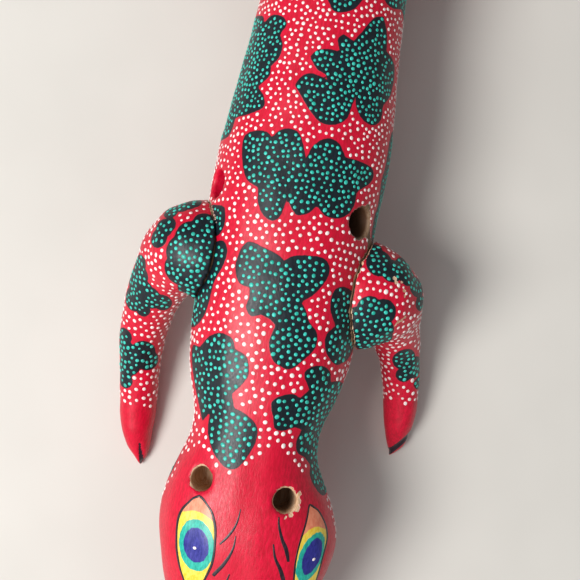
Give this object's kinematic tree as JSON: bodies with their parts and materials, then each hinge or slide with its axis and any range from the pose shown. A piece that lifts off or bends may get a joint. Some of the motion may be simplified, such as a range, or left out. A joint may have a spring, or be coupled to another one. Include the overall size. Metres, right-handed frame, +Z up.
{
  "type": "alebrije figure",
  "caption": "Hand-carved painted wooden beast in a low crouch: long one-piece head and trunk, pinned hooved legs, curled push-fit tail, and empty round sockets for plug-in ears and wings.",
  "frame": {"origin": "centre of the bounding box's underside, on the surface the hooves stand on", "axes": "+Z up, -Y towards the nose, +Y towards the tail, +X the animal's left side"},
  "size_m": [0.1132, 0.3937, 0.1205],
  "materials": {
    "painted_wood": "satin acrylic paint over carved soft wood",
    "seam_putty": "matt glue and sawdust filler",
    "nail_putty": "matt putty, painted over where it is flush",
    "nail_steel": "plain drawn wire"
  },
  "bodies": {
    "carving": {"head_and_trunk": "painted_wood", "front_left_leg": "painted_wood", "front_left_seam_putty": "seam_putty", "front_left_nail_1": "nail_steel", "front_left_nail_2": "nail_steel", "front_left_nail_plug_1": "nail_putty", "front_left_nail_plug_2": "nail_putty", "front_right_leg": "painted_wood", "front_right_seam_putty": "seam_putty", "front_right_nail_1": "nail_steel", "front_right_nail_2": "nail_steel", "front_right_nail_plug_1": "nail_putty", "front_right_nail_plug_2": "nail_putty", "hind_left_leg": "painted_wood", "hind_left_seam_putty": "seam_putty", "hind_left_nail_1": "nail_steel", "hind_left_nail_2": "nail_steel", "hind_left_nail_plug_1": "nail_putty", "hind_left_nail_plug_2": "nail_putty", "hind_right_leg": "painted_wood", "hind_right_seam_putty": "seam_putty", "hind_right_nail_1": "nail_steel", "hind_right_nail_2": "nail_steel", "hind_right_nail_plug_1": "nail_putty", "hind_right_nail_plug_2": "nail_putty"},
    "tail": {"tail": "painted_wood"}
  },
  "joints": [
    {"name": "tail_slide", "type": "slide", "parent": "carving", "child": "tail", "axis": [0, 1, 0], "range_m": [0, 0.022]}
  ]
}
